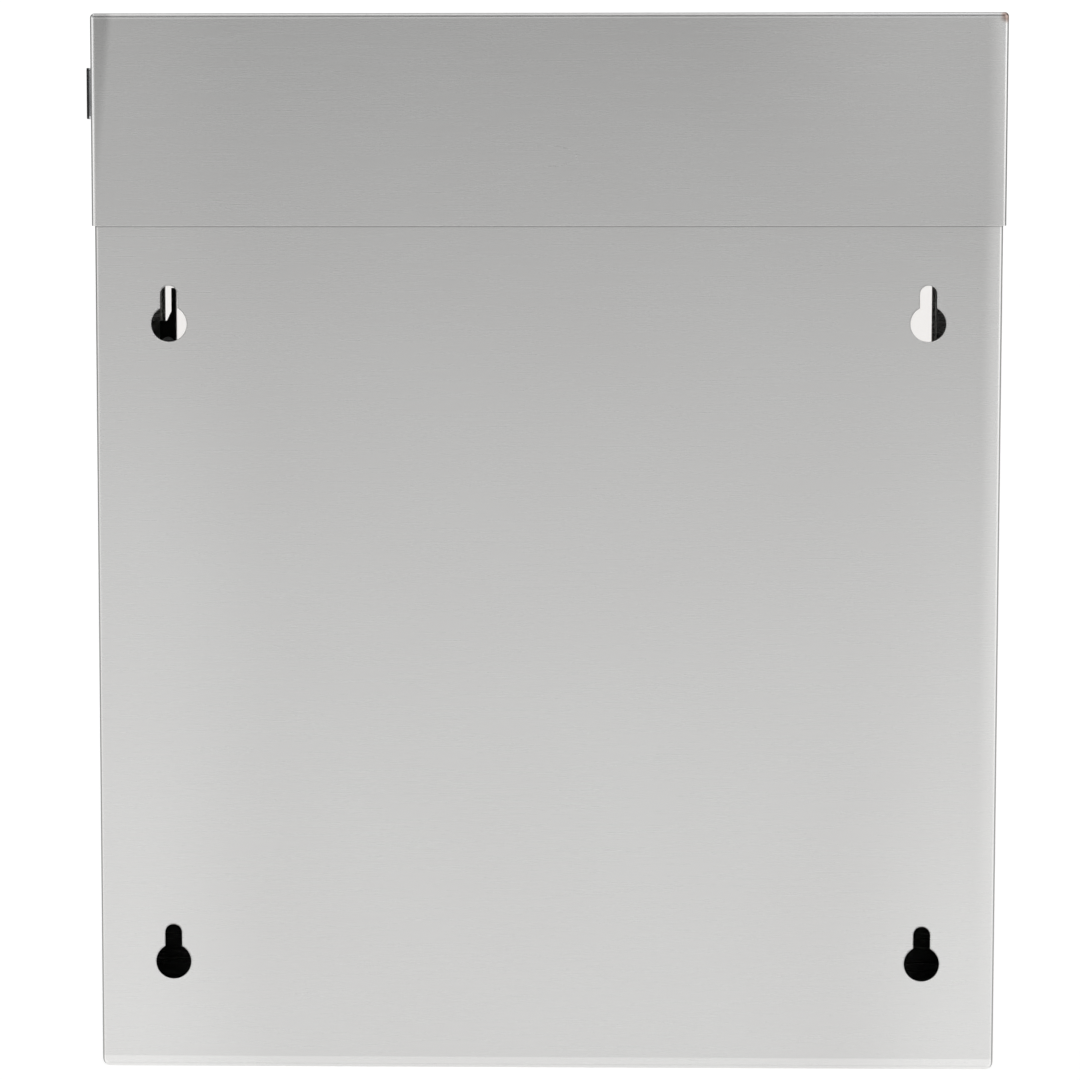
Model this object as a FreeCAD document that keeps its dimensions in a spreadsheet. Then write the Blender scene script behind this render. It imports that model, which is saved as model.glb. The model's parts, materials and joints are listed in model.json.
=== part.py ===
import FreeCAD, Part
import os
import Sketcher

# Wall mounted mailbox: a stainless box with an inset front panel, a letter slot with a
# hinged flap, and a welded hood that lifts off and is held by a small cam lock.
# Millimetres. X runs across the box, with the lock on the +X side. The front faces -Y.
# Heights in the sketches are measured up from the underside of the box. Every sub-part
# is then lowered by its Placement, so the origin is at the centre of the four keyholes,
# on the outer face of the back.

SIZES = {
    "body_width": 323, "body_depth": 105, "body_height": 377,
    "gauge": 0.7, "bend": 1.5, "corner": 3, "rim": 12,
    "keyhole_low": 39, "keyhole_spacing_x": 270.5, "keyhole_spacing_z": 231,
    "keyhole_round": 13, "keyhole_slot": 6.4, "keyhole_rise": 10.6,
    "drain_hole": 5, "drain_inset": 25,
    "lid_height": 380, "lid_skirt": 75, "lid_gap": 0.3, "brow": 18,
    "pad_thick": 2.2, "pad_long": 24, "pad_wide": 8, "pad_x": 120, "pad_front": 20, "pad_edge": 6,
    "slot_width": 293.6, "slot_low": 252, "slot_high": 287, "slot_corner": 2,
    "flap_width": 296.4, "flap_thick": 2, "flap_setback": 1.8, "flap_low": 248, "flap_high": 291.5,
    "hinge_setback": 4.4, "hinge_height": 294.5, "rod_dia": 3, "rod_long": 305, "running": 0.05,
    "rail_dia": 5.8, "rail_wall": 0.8, "rail_low": 288,
    "ear_gap": 0.6, "ear_thick": 1.2, "ear_deep": 8, "foot_long": 7, "foot_low": 289, "foot_high": 300,
    "clip_dia": 4.8, "clip_thick": 0.5,
    "buffer_in": 141.9, "buffer_out": 148.1, "buffer_tongue": 1.8, "buffer_low": 250,
    "buffer_top": 267, "tongue_top": 279.5, "tongue_root": 1.8, "tongue_root_high": 3.7,
    "buffer_deep": 3.5, "tongue_lap": 0.5, "rivet_dia": 3, "rivet_head": 5, "rivet_head_thick": 0.6,
    "strike_in": 148.5, "strike_low": 246, "strike_top": 266.4, "strike_setback": 4.2, "strike_thick": 1,
    "strike_hole": 2.4, "strike_hole_in": 3.3, "strike_hole_drop": 2.4,
    "lock_inset": 22, "lock_height": 352, "lock_face": 18.2, "face_wide": 18, "face_thick": 1.55,
    "face_corner": 1, "gasket_thick": 0.5, "gasket_inset": 0.4,
    "barrel_dia": 16, "barrel_flats": 14, "flats_short": 1, "barrel_end": 146.5, "lid_hole_gap": 0.1,
    "nut_flats": 20, "nut_thick": 3, "washer_dia": 21, "washer_thick": 0.6, "notch_half": 12.5,
    "plug_dia": 10, "plug_recess": 0.25, "plug_end": 146.3, "tail": 6, "keyway_wide": 2.4,
    "keyway_high": 7, "keyway_deep": 14, "wafer_thick": 0.5, "wafer_wide": 3.8, "wafer_high": 9.2,
    "wafer_first": 3, "wafer_pitch": 2, "wafer_play": 0.05, "wafer_window": 5,
    "cam_thick": 2, "cam_wide": 10, "cam_corner": 4.5, "cam_reach": 23,
    "screw_dia": 4, "screw_reach": 3, "screw_hole": 4, "screw_head": 7.5,
    "head_thick": 2.2, "screw_slot": 1, "cam_washer": 8.6, "cam_washer_thick": 0.6,
    "cover_gap": 0.1, "cover_thick": 0.75, "pivot_rise": 6.3, "pivot_dia": 2, "pivot_head": 3.4,
    "pivot_head_thick": 0.35,
    "catch_front": 32, "catch_back": 16, "catch_low": 342, "catch_tab": 357.6, "catch_thick": 1.2,
    "catch_in": 141.5,
    "beyond": 1,
}

WAFERS = 5

# Words for places that several sub-parts share, built from the sheet. A cut runs past the
# metal by `beyond`, and a pad that joins another laps into it by as much.
SIDE = "size.body_width / 2"
FRONT = "-size.body_depth"
LID_SIDE = "(size.body_width / 2 + size.lid_gap)"
LOCK_Y = "-size.lock_inset"
LOCK_Z = "size.lock_height"
HINGE_Y = "(-size.body_depth + size.hinge_setback)"
HINGE_Z = "size.hinge_height"
FLAP_FRONT = "(-size.body_depth + size.flap_setback)"
FLAP_BACK = "(-size.body_depth + size.flap_setback + size.flap_thick)"
BUFFER_MID = "((size.buffer_in + size.buffer_out) / 2)"
BUFFER_PIN = "((size.buffer_low + size.buffer_top) / 2)"
FACE_IN = "(size.body_width / 2 + size.lid_gap + size.gauge + size.gasket_thick)"
FACE_OUT = f"({FACE_IN} + size.face_thick)"
CAM_IN = "(size.plug_end - size.cam_thick)"
BARREL_HOLE = "(size.barrel_dia + 2 * size.running)"

doc = FreeCAD.newDocument("wall_mailbox")
sheet = doc.addObject("Spreadsheet::Sheet", "size")
for row, (alias, number) in enumerate(SIZES.items(), start=1):
    sheet.set(f"A{row}", alias)
    sheet.set(f"B{row}", str(number))
    sheet.setAlias(f"B{row}", alias)
doc.recompute()


def value(words):
    """The number an expression gives now."""
    found = sheet.evalExpression(words)
    return float(getattr(found, "Value", found))


# ---- helpers -------------------------------------------------------------------------

def new_part(label):
    """A body whose own zero height is the underside of the box."""
    body = doc.addObject("PartDesign::Body", label)
    body.Label = label
    body.setExpression("Placement.Base.z", "-(size.keyhole_low + size.keyhole_spacing_z / 2)")
    return body


def sketch_at(body, plane, where):
    """A sketch on one of the body's planes, moved to the coordinate `where`."""
    sketch = body.newObject("Sketcher::SketchObject", f"{body.Label}_sketch")
    origin = [f for f in body.Origin.OriginFeatures if f.Role == plane][0]
    sketch.AttachmentSupport = (origin, [""])
    sketch.MapMode = "FlatFace"
    towards = "-1 * " if plane == "XZ_Plane" else ""
    sketch.setExpression("AttachmentOffset.Base.z", f"{towards}({where})")
    return sketch


def bind(sketch, kind, geometry, point, words):
    """Holds one coordinate of a sketch point to an expression."""
    place = sketch.addConstraint(Sketcher.Constraint(kind, -1, 1, geometry, point, value(words)))
    sketch.setExpression(f"Constraints[{place}]", words)


def rectangle(sketch, left, right, low, high):
    corners = [(left, low), (right, low), (right, high), (left, high)]
    points = [FreeCAD.Vector(value(across), value(up), 0) for across, up in corners]
    first = sketch.GeometryCount
    for i in range(4):
        sketch.addGeometry(Part.LineSegment(points[i], points[(i + 1) % 4]), False)
    for i in range(4):
        sketch.addConstraint(Sketcher.Constraint("Coincident", first + i, 2, first + (i + 1) % 4, 1))
    for i, kind in enumerate(("Horizontal", "Vertical", "Horizontal", "Vertical")):
        sketch.addConstraint(Sketcher.Constraint(kind, first + i))
    bind(sketch, "DistanceX", first, 1, left)
    bind(sketch, "DistanceY", first, 1, low)
    bind(sketch, "DistanceX", first + 2, 1, right)
    bind(sketch, "DistanceY", first + 2, 1, high)


def circle(sketch, across, up, diameter):
    centre = FreeCAD.Vector(value(across), value(up), 0)
    place = sketch.addGeometry(Part.Circle(centre, FreeCAD.Vector(0, 0, 1), value(diameter) / 2), False)
    held = sketch.addConstraint(Sketcher.Constraint("Diameter", place, value(diameter)))
    sketch.setExpression(f"Constraints[{held}]", diameter)
    bind(sketch, "DistanceX", place, 3, across)
    bind(sketch, "DistanceY", place, 3, up)


def polygon(sketch, corners):
    """A closed outline whose corners are pairs of expressions."""
    points = [FreeCAD.Vector(value(x), value(z), 0) for x, z in corners]
    count = len(points)
    first = sketch.GeometryCount
    for i in range(count):
        sketch.addGeometry(Part.LineSegment(points[i], points[(i + 1) % count]), False)
    for i in range(count):
        sketch.addConstraint(Sketcher.Constraint("Coincident", first + i, 2, first + (i + 1) % count, 1))
        bind(sketch, "DistanceX", first + i, 1, corners[i][0])
        bind(sketch, "DistanceY", first + i, 1, corners[i][1])


def hexagon(sketch, across, up, flats):
    """A hexagon with two level flats, fixed by its six corners."""
    half = f"({flats}) / 2"
    side = f"({flats}) / (2 * sqrt(3))"
    steps = [(f"-{side}", f"-{half}"), (side, f"-{half}"), (f"2 * {side}", "0"),
             (side, half), (f"-{side}", half), (f"-2 * {side}", "0")]
    polygon(sketch, [(f"{across} + {dx}", f"{up} + {dz}") for dx, dz in steps])


def add(body, plane, low, high, draw):
    """Pads what `draw` puts in a sketch, from the coordinate `low` to `high`."""
    sketch = sketch_at(body, plane, high if plane == "XZ_Plane" else low)
    draw(sketch)
    pad = body.newObject("PartDesign::Pad", f"{body.Label}_pad")
    pad.Profile = sketch
    pad.setExpression("Length", f"({high}) - ({low})")
    doc.recompute()
    return pad


def cut(body, plane, low, high, draw):
    """Pockets what `draw` puts in a sketch, and makes sure that it took metal away."""
    before = body.Shape.Volume
    sketch = sketch_at(body, plane, low if plane == "XZ_Plane" else high)
    draw(sketch)
    pocket = body.newObject("PartDesign::Pocket", f"{body.Label}_pocket")
    pocket.Profile = sketch
    pocket.setExpression("Length", f"({high}) - ({low})")
    doc.recompute()
    if body.Shape.Volume > before - 1e-3:
        raise RuntimeError(f"a pocket in {body.Label} cut nothing")
    return pocket


def round_edges(body, radius, chosen):
    """Fillets the edges of the body for which `chosen` is true of the edge's box."""
    tip = body.Tip
    names = [f"Edge{i}" for i, edge in enumerate(tip.Shape.Edges, start=1) if chosen(edge.BoundBox)]
    fillet = body.newObject("PartDesign::Fillet", f"{body.Label}_bends")
    fillet.Base = (tip, names)
    fillet.setExpression("Radius", radius)
    doc.recompute()
    return fillet


def hollow(body, wall, is_open):
    """Leaves a skin of that thickness inside the solid, without the faces that are open."""
    tip = body.Tip
    names = [f"Face{i}" for i, face in enumerate(tip.Shape.Faces, start=1) if is_open(face.BoundBox)]
    skin = body.newObject("PartDesign::Thickness", f"{body.Label}_skin")
    skin.Base = (tip, names)
    skin.setExpression("Value", wall)
    skin.Reversed = True
    skin.Mode = "Skin"
    skin.Join = "Intersection"
    doc.recompute()
    return skin


def along(box, axis):
    """True for an edge's box that runs along one axis only."""
    lengths = {"X": box.XLength, "Y": box.YLength, "Z": box.ZLength}
    return lengths.pop(axis) > 1e-3 and all(other < 1e-3 for other in lengths.values())


def near(a, b):
    return abs(a - b) < 1e-3


# ---- the box -------------------------------------------------------------------------

def body_shell():
    """Back, sides and floor folded from one sheet, with a turned-in rim at the top."""
    body = new_part("body_shell")
    add(body, "XY_Plane", "0", "size.body_height",
        lambda s: rectangle(s, f"-{SIDE}", SIDE, FRONT, "0"))
    round_edges(body, "size.corner", lambda b: along(b, "Y") and near(b.ZMax, 0))
    round_edges(body, "size.bend", lambda b: along(b, "Y") and near(b.ZMin, value("size.body_height")))
    round_edges(body, "size.bend", lambda b: near(b.YMin, 0) and near(b.YMax, 0))
    hollow(body, "size.gauge", lambda b: near(b.YMin, value(FRONT)) and near(b.YMax, value(FRONT)))
    opening = f"{SIDE} - size.rim"
    cut(body, "XY_Plane", "size.body_height - 2 * size.gauge", "size.body_height + size.beyond",
        lambda s: rectangle(s, f"-({opening})", opening, f"{FRONT} - size.beyond", "-size.rim"))
    cut_keyholes(body)
    cut(body, "XY_Plane", "-size.beyond", "2 * size.gauge", draw_drains)
    cut(body, "YZ_Plane", f"{SIDE} - size.rim - size.beyond", f"{SIDE} + size.beyond",
        lambda s: rectangle(s, f"{LOCK_Y} - size.notch_half", f"{LOCK_Y} + size.notch_half",
                            f"{LOCK_Z} - size.notch_half", "size.body_height + size.beyond"))
    return body


def cut_keyholes(body):
    """Four keyholes: a round entry, a neck above it and the neck's round end."""
    places = [(f"{side} * size.keyhole_spacing_x / 2", f"size.keyhole_low + {up} * size.keyhole_spacing_z")
              for side in (-1, 1) for up in (0, 1)]

    def entries(sketch):
        for across, up in places:
            circle(sketch, across, up, "size.keyhole_round")

    def necks(sketch):
        for across, up in places:
            rectangle(sketch, f"{across} - size.keyhole_slot / 2", f"{across} + size.keyhole_slot / 2",
                      up, f"{up} + size.keyhole_rise")

    def ends(sketch):
        for across, up in places:
            circle(sketch, across, f"{up} + size.keyhole_rise", "size.keyhole_slot")

    for draw in (entries, necks, ends):
        cut(body, "XZ_Plane", "-2 * size.gauge", "size.beyond", draw)


def draw_drains(sketch):
    for side in (-1, 1):
        for back in ("size.drain_inset", "size.body_depth - size.drain_inset"):
            circle(sketch, f"{side} * ({SIDE} - size.drain_inset)", f"-({back})", "size.drain_hole")


def front_panel():
    """A shallow tray set into the front of the shell, with the letter slot punched in it."""
    body = new_part("front_panel")
    inner = f"({SIDE} - size.gauge)"
    add(body, "XY_Plane", "size.gauge", "size.body_height - size.gauge",
        lambda s: rectangle(s, f"-{inner}", inner, FRONT, f"{FRONT} + size.rim"))
    round_edges(body, "size.corner", lambda b: along(b, "Y"))
    round_edges(body, "size.bend", lambda b: near(b.YMax, value(FRONT)))
    back = value(f"{FRONT} + size.rim")
    hollow(body, "size.gauge", lambda b: near(b.YMin, back))
    cut(body, "XZ_Plane", f"{FRONT} - size.beyond", f"{FRONT} + 2 * size.gauge",
        lambda s: rectangle(s, "-size.slot_width / 2", "size.slot_width / 2",
                            "size.slot_low", "size.slot_high"))
    slot_end = value("size.slot_width / 2")
    gauge = value("size.gauge")
    round_edges(body, "size.slot_corner",
                lambda b: along(b, "Y") and near(abs(b.XMin), slot_end) and near(b.YLength, gauge))
    return body


# ---- the hood ------------------------------------------------------------------------

def lid_shell():
    """The hood: top and four skirts, welded at the corners and open below."""
    body = new_part("lid_shell")
    outer = f"({LID_SIDE} + size.gauge)"
    add(body, "XY_Plane", "size.lid_height - size.lid_skirt", "size.lid_height",
        lambda s: rectangle(s, f"-{outer}", outer, f"{FRONT} - size.brow - size.gauge",
                            "size.lid_gap + size.gauge"))
    round_edges(body, "size.bend", lambda b: along(b, "Z"))
    round_edges(body, "size.bend", lambda b: near(b.ZMin, value("size.lid_height")))
    open_height = value("size.lid_height - size.lid_skirt")
    hollow(body, "size.gauge", lambda b: near(b.ZMax, open_height))
    cut(body, "YZ_Plane", f"{LID_SIDE} - size.beyond", f"{outer} + size.beyond",
        lambda s: circle(s, LOCK_Y, LOCK_Z, "size.barrel_dia + 2 * size.lid_hole_gap"))
    return body


def lid_pads():
    """Four soft strips under the hood's top, which sit on the shell's rim."""
    body = new_part("lid_pads")

    def draw(sketch):
        for side in (-1, 1):
            across = f"{side} * size.pad_x"
            rectangle(sketch, f"{across} - size.pad_long / 2", f"{across} + size.pad_long / 2",
                      "-size.pad_edge - size.pad_wide / 2", "-size.pad_edge + size.pad_wide / 2")
            across = f"{side} * ({SIDE} - size.pad_edge)"
            deep = f"{FRONT} + size.pad_front"
            rectangle(sketch, f"{across} - size.pad_wide / 2", f"{across} + size.pad_wide / 2",
                      f"{deep} - size.pad_long / 2", f"{deep} + size.pad_long / 2")

    top = "size.lid_height - size.gauge"
    add(body, "XY_Plane", f"{top} - size.pad_thick", top, draw)
    return body


# ---- the letter flap -----------------------------------------------------------------

def flap_panel():
    """The clear sheet that closes the letter slot from inside."""
    body = new_part("flap_panel")
    add(body, "XZ_Plane", FLAP_FRONT, FLAP_BACK,
        lambda s: rectangle(s, "-size.flap_width / 2", "size.flap_width / 2",
                            "size.flap_low", "size.flap_high"))
    cut(body, "XZ_Plane", f"{FLAP_FRONT} - size.beyond", f"{FLAP_BACK} + size.beyond",
        lambda s: circle(s, BUFFER_MID, BUFFER_PIN, "size.rivet_dia"))
    return body


def flap_rail():
    """An extruded rail: a clamp along the clear sheet's top edge and a tube for the rod."""
    body = new_part("flap_rail")
    ends = ("-size.flap_width / 2", "size.flap_width / 2")
    add(body, "YZ_Plane", *ends,
        lambda s: rectangle(s, f"{FLAP_FRONT} - size.rail_wall", f"{FLAP_BACK} + size.rail_wall",
                            "size.rail_low", f"{HINGE_Z} - size.beyond"))
    add(body, "YZ_Plane", *ends, lambda s: circle(s, HINGE_Y, HINGE_Z, "size.rail_dia"))
    cut(body, "YZ_Plane", *ends,
        lambda s: rectangle(s, FLAP_FRONT, FLAP_BACK, "size.rail_low - size.beyond", "size.flap_high"))
    cut(body, "YZ_Plane", *ends, lambda s: circle(s, HINGE_Y, HINGE_Z, "size.rod_dia + 2 * size.running"))
    return body


def flap_rod():
    body = new_part("flap_rod")
    add(body, "YZ_Plane", "-size.rod_long / 2", "size.rod_long / 2",
        lambda s: circle(s, HINGE_Y, HINGE_Z, "size.rod_dia"))
    return body


def flap_bearing(label, side):
    """A small angle welded inside the front panel, with the hole that carries the rod."""
    body = new_part(label)
    ear = "(size.flap_width / 2 + size.ear_gap)"
    plate = f"({FRONT} + size.gauge)"

    def span(near_end, far_end):
        return (near_end, far_end) if side > 0 else (f"-({far_end})", f"-({near_end})")

    add(body, "YZ_Plane", *span(ear, f"{ear} + size.ear_thick"),
        lambda s: rectangle(s, plate, f"{plate} + size.ear_deep", "size.foot_low", "size.foot_high"))
    left, right = span(ear, f"{ear} + size.ear_thick + size.foot_long")
    add(body, "XZ_Plane", plate, f"{plate} + size.ear_thick",
        lambda s: rectangle(s, left, right, "size.foot_low", "size.foot_high"))
    cut(body, "YZ_Plane", *span(f"{ear} - size.beyond", f"{ear} + size.ear_thick + size.beyond"),
        lambda s: circle(s, HINGE_Y, HINGE_Z, "size.rod_dia"))
    return body


def rod_clips():
    """Push-on washers that keep the rod in its two bearings."""
    body = new_part("rod_clips")
    near_face = "size.flap_width / 2 + size.ear_gap + size.ear_thick"
    for low, high in ((near_face, f"{near_face} + size.clip_thick"),
                      (f"-({near_face} + size.clip_thick)", f"-({near_face})")):
        def ring(sketch):
            circle(sketch, HINGE_Y, HINGE_Z, "size.clip_dia")
            circle(sketch, HINGE_Y, HINGE_Z, "size.rod_dia")
        add(body, "YZ_Plane", low, high, ring)
    return body


def flap_buffer():
    """A nylon block on the clear sheet's end that stops it rattling, with a thin tongue."""
    body = new_part("flap_buffer")
    back = f"{FLAP_BACK} + size.buffer_deep"
    add(body, "XZ_Plane", FLAP_BACK, back,
        lambda s: rectangle(s, "size.buffer_in", "size.buffer_out", "size.buffer_low", "size.buffer_top"))
    add(body, "XZ_Plane", FLAP_BACK, back,
        lambda s: rectangle(s, "size.buffer_in", "size.buffer_in + size.buffer_tongue",
                            "size.buffer_top - size.tongue_lap", "size.tongue_top"))
    tongue_out = "size.buffer_in + size.buffer_tongue"
    add(body, "XZ_Plane", FLAP_BACK, back,
        lambda s: polygon(s, [(f"{tongue_out} - size.tongue_lap", "size.buffer_top - size.tongue_lap"),
                              (f"{tongue_out} + size.tongue_root", "size.buffer_top - size.tongue_lap"),
                              (f"{tongue_out} + size.tongue_root", "size.buffer_top"),
                              (tongue_out, "size.buffer_top + size.tongue_root_high"),
                              (f"{tongue_out} - size.tongue_lap",
                               "size.buffer_top + size.tongue_root_high")]))
    cut(body, "XZ_Plane", f"{FLAP_BACK} - size.beyond", f"{back} + size.beyond",
        lambda s: circle(s, BUFFER_MID, BUFFER_PIN, "size.rivet_dia"))
    return body


def buffer_rivet():
    body = new_part("buffer_rivet")
    back = f"({FLAP_BACK} + size.buffer_deep)"
    add(body, "XZ_Plane", FLAP_FRONT, back, lambda s: circle(s, BUFFER_MID, BUFFER_PIN, "size.rivet_dia"))
    add(body, "XZ_Plane", back, f"{back} + size.rivet_head_thick",
        lambda s: circle(s, BUFFER_MID, BUFFER_PIN, "size.rivet_head"))
    return body


def strike_plate():
    """A moulded angle fixed to the front panel's side flange, beside the buffer."""
    body = new_part("strike_plate")
    wall = f"({SIDE} - 2 * size.gauge)"
    face = f"({FRONT} + size.strike_setback)"
    add(body, "XZ_Plane", face, f"{face} + size.strike_thick",
        lambda s: rectangle(s, "size.strike_in", wall, "size.strike_low", "size.strike_top"))
    add(body, "YZ_Plane", f"{wall} - size.strike_thick", wall,
        lambda s: rectangle(s, face, f"{FRONT} + size.rim", "size.strike_low", "size.strike_top"))
    cut(body, "XZ_Plane", f"{face} - size.beyond", f"{face} + size.strike_thick + size.beyond",
        lambda s: circle(s, "size.strike_in + size.strike_hole_in", "size.strike_top - size.strike_hole_drop",
                         "size.strike_hole"))
    return body


# ---- the lock ------------------------------------------------------------------------

def draw_face(sketch, inset="0"):
    rectangle(sketch, f"{LOCK_Y} - size.face_wide / 2 + {inset}", f"{LOCK_Y} + size.face_wide / 2 - {inset}",
              f"{LOCK_Z} - size.lock_face / 2 + {inset}", f"{LOCK_Z} + size.lock_face / 2 - {inset}")


def lock_housing():
    """Square face plate with a flatted barrel behind it, bored for the plug."""
    body = new_part("lock_housing")
    add(body, "YZ_Plane", FACE_IN, FACE_OUT, draw_face)
    round_edges(body, "size.face_corner", lambda b: along(b, "X"))
    add(body, "YZ_Plane", "size.barrel_end", FACE_IN, lambda s: circle(s, LOCK_Y, LOCK_Z, "size.barrel_dia"))
    flats_end = f"{LID_SIDE} - size.washer_thick - size.nut_thick - size.flats_short"
    for side in (-1, 1):
        flat = f"{LOCK_Z} + {side} * size.barrel_flats / 2"
        beyond = f"{LOCK_Z} + {side} * size.barrel_dia"
        low, high = (flat, beyond) if side > 0 else (beyond, flat)
        cut(body, "YZ_Plane", "size.barrel_end", flats_end,
            lambda s: rectangle(s, f"{LOCK_Y} - size.barrel_dia", f"{LOCK_Y} + size.barrel_dia", low, high))
    cut(body, "YZ_Plane", "size.barrel_end - size.beyond", f"{FACE_OUT} + size.beyond",
        lambda s: circle(s, LOCK_Y, LOCK_Z, "size.plug_dia + 2 * size.running"))
    cut(body, "YZ_Plane", f"{FACE_OUT} - size.face_thick", f"{FACE_OUT} + size.beyond",
        lambda s: circle(s, LOCK_Y, f"{LOCK_Z} + size.pivot_rise", "size.pivot_dia"))
    return body


def ring_part(label, low, high, outer, inner):
    """A plain washer round the lock's axis."""
    body = new_part(label)

    def draw(sketch):
        circle(sketch, LOCK_Y, LOCK_Z, outer)
        circle(sketch, LOCK_Y, LOCK_Z, inner)

    add(body, "YZ_Plane", low, high, draw)
    return body


def lock_gasket():
    """Rubber sheet between the face plate and the hood."""
    body = new_part("lock_gasket")
    add(body, "YZ_Plane", f"{LID_SIDE} + size.gauge", FACE_IN, lambda s: draw_face(s, "size.gasket_inset"))
    cut(body, "YZ_Plane", LID_SIDE, f"{FACE_IN} + size.beyond",
        lambda s: circle(s, LOCK_Y, LOCK_Z, "size.barrel_dia"))
    return body


def lock_nut():
    body = new_part("lock_nut")
    back = f"{LID_SIDE} - size.washer_thick - size.nut_thick"
    add(body, "YZ_Plane", back, f"{LID_SIDE} - size.washer_thick",
        lambda s: hexagon(s, LOCK_Y, LOCK_Z, "size.nut_flats"))
    cut(body, "YZ_Plane", f"{back} - size.beyond", LID_SIDE, lambda s: circle(s, LOCK_Y, LOCK_Z, BARREL_HOLE))
    return body


def lock_plug():
    """The part the key turns: a keyway, slots for the wafers and a square tail."""
    body = new_part("lock_plug")
    front = f"({FACE_OUT} - size.plug_recess)"
    add(body, "YZ_Plane", "size.plug_end", front, lambda s: circle(s, LOCK_Y, LOCK_Z, "size.plug_dia"))
    add(body, "YZ_Plane", CAM_IN, "size.plug_end + size.beyond", lambda s: draw_square(s, "size.tail / 2"))
    cut(body, "YZ_Plane", f"{front} - size.keyway_deep", f"{front} + size.beyond",
        lambda s: rectangle(s, f"{LOCK_Y} - size.keyway_wide / 2", f"{LOCK_Y} + size.keyway_wide / 2",
                            f"{LOCK_Z} - size.keyway_high / 2", f"{LOCK_Z} + size.keyway_high / 2"))
    for i in range(WAFERS):
        low, high = wafer_span(i)
        cut(body, "YZ_Plane", f"{low} - size.wafer_play", f"{high} + size.wafer_play",
            lambda s: draw_wafer(s, "size.wafer_play"))
    cut(body, "YZ_Plane", f"{CAM_IN} - size.beyond", "size.plug_end + size.screw_hole",
        lambda s: circle(s, LOCK_Y, LOCK_Z, "size.screw_dia"))
    return body


def draw_square(sketch, half):
    rectangle(sketch, f"{LOCK_Y} - {half}", f"{LOCK_Y} + {half}", f"{LOCK_Z} - {half}", f"{LOCK_Z} + {half}")


def wafer_span(i):
    high = f"({FACE_OUT} - size.plug_recess - size.wafer_first - {i} * size.wafer_pitch)"
    return f"({high} - size.wafer_thick)", high


def draw_wafer(sketch, play="0"):
    rectangle(sketch, f"{LOCK_Y} - size.wafer_wide / 2 - {play}", f"{LOCK_Y} + size.wafer_wide / 2 + {play}",
              f"{LOCK_Z} - size.wafer_high / 2 - {play}", f"{LOCK_Z} + size.wafer_high / 2 + {play}")


def lock_wafers():
    """Thin brass plates across the plug, each with a window for the key."""
    body = new_part("lock_wafers")

    def draw(sketch):
        draw_wafer(sketch)
        rectangle(sketch, f"{LOCK_Y} - size.keyway_wide / 2", f"{LOCK_Y} + size.keyway_wide / 2",
                  f"{LOCK_Z} - size.wafer_window / 2", f"{LOCK_Z} + size.wafer_window / 2")

    for i in range(WAFERS):
        add(body, "YZ_Plane", *wafer_span(i), draw)
    return body


def lock_cam():
    """The arm on the plug's tail. It hangs down when unlocked."""
    body = new_part("lock_cam")
    half = "size.cam_wide / 2"
    add(body, "YZ_Plane", CAM_IN, "size.plug_end",
        lambda s: rectangle(s, f"{LOCK_Y} - {half}", f"{LOCK_Y} + {half}",
                            f"{LOCK_Z} - {half} - size.cam_reach", f"{LOCK_Z} + {half}"))
    round_edges(body, "size.cam_corner", lambda b: along(b, "X"))
    cut(body, "YZ_Plane", f"{CAM_IN} - size.beyond", "size.plug_end + size.beyond",
        lambda s: draw_square(s, "size.tail / 2"))
    return body


def cam_screw():
    """Slotted screw that clamps the cam to the tail."""
    body = new_part("cam_screw")
    seat = f"({CAM_IN} - size.cam_washer_thick)"
    add(body, "YZ_Plane", f"{seat} - size.head_thick", seat,
        lambda s: circle(s, LOCK_Y, LOCK_Z, "size.screw_head"))
    add(body, "YZ_Plane", seat, "size.plug_end + size.screw_reach",
        lambda s: circle(s, LOCK_Y, LOCK_Z, "size.screw_dia"))
    cut(body, "YZ_Plane", f"{seat} - size.head_thick - size.beyond", f"{seat} - size.head_thick / 2",
        lambda s: rectangle(s, f"{LOCK_Y} - size.screw_head", f"{LOCK_Y} + size.screw_head",
                            f"{LOCK_Z} - size.screw_slot / 2", f"{LOCK_Z} + size.screw_slot / 2"))
    return body


def dust_cover():
    """A flat black plate that hangs over the keyway and swings aside."""
    body = new_part("dust_cover")
    inner = f"({FACE_OUT} + size.cover_gap)"
    outer = f"({inner} + size.cover_thick)"
    pivot = f"{LOCK_Z} + size.pivot_rise"
    add(body, "YZ_Plane", inner, outer, draw_face)
    round_edges(body, "size.face_corner", lambda b: along(b, "X"))
    cut(body, "YZ_Plane", f"{inner} - size.beyond", f"{outer} + size.beyond",
        lambda s: circle(s, LOCK_Y, pivot, "size.pivot_dia + 2 * size.running"))
    cut(body, "YZ_Plane", f"{outer} - size.pivot_head_thick - size.running", f"{outer} + size.beyond",
        lambda s: circle(s, LOCK_Y, pivot, "size.pivot_head + 2 * size.running"))
    return body


def cover_pin():
    """The dust cover's pivot, pressed into the face plate, with a flush head."""
    body = new_part("cover_pin")
    outer = f"({FACE_OUT} + size.cover_gap + size.cover_thick)"
    pivot = f"{LOCK_Z} + size.pivot_rise"
    add(body, "YZ_Plane", FACE_IN, f"{outer} - size.pivot_head_thick",
        lambda s: circle(s, LOCK_Y, pivot, "size.pivot_dia"))
    add(body, "YZ_Plane", f"{outer} - size.pivot_head_thick", outer,
        lambda s: circle(s, LOCK_Y, pivot, "size.pivot_head"))
    return body


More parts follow.
